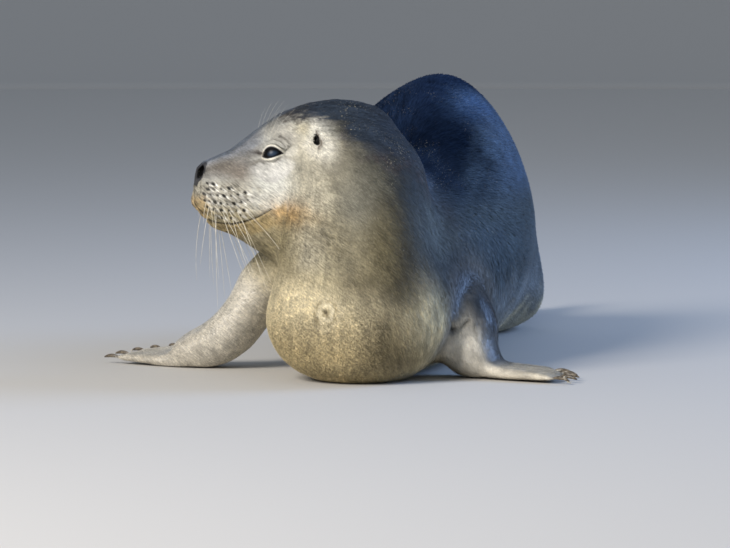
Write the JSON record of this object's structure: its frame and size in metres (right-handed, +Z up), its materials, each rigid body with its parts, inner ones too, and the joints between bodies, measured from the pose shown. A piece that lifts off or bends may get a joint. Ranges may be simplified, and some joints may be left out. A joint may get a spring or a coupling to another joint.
{
  "type": "grey seal",
  "caption": "Young grey seal hauled out on its chest with a humped back and its head turned aside, in a fixed pose, lying on a flat belly.",
  "frame": {"origin": "on the floor, under the middle of the seal's bounding box", "axes": "+Z up, -Y the way the chest faces, +Y towards the hind flippers, +X the seal's left"},
  "size_m": [0.6234, 1.144, 0.3541],
  "materials": {
    "pale_hide": "short damp fur, pale grey to cream",
    "dark_hide": "short sleek fur, dark slate with light flecks",
    "flipper_hide": "short sleek fur over thin skin",
    "claw": "dark horn",
    "eye": "wet and glossy"
  },
  "bodies": {
    "root": {"head": "pale_hide", "neck": "pale_hide", "ribs": "dark_hide", "loins": "dark_hide", "hips": "dark_hide", "tail": "dark_hide", "foreflipper_left": "flipper_hide", "foreflipper_left_claw_1": "claw", "foreflipper_left_claw_2": "claw", "foreflipper_left_claw_3": "claw", "foreflipper_left_claw_4": "claw", "foreflipper_left_claw_5": "claw", "foreflipper_right": "flipper_hide", "foreflipper_right_claw_1": "claw", "foreflipper_right_claw_2": "claw", "foreflipper_right_claw_3": "claw", "foreflipper_right_claw_4": "claw", "foreflipper_right_claw_5": "claw", "hindflipper_left": "flipper_hide", "hindflipper_left_claw_1": "claw", "hindflipper_left_claw_2": "claw", "hindflipper_left_claw_3": "claw", "hindflipper_left_claw_4": "claw", "hindflipper_left_claw_5": "claw", "hindflipper_right": "flipper_hide", "hindflipper_right_claw_1": "claw", "hindflipper_right_claw_2": "claw", "hindflipper_right_claw_3": "claw", "hindflipper_right_claw_4": "claw", "hindflipper_right_claw_5": "claw", "eye_left": "eye", "eye_right": "eye"}
  },
  "joints": []
}
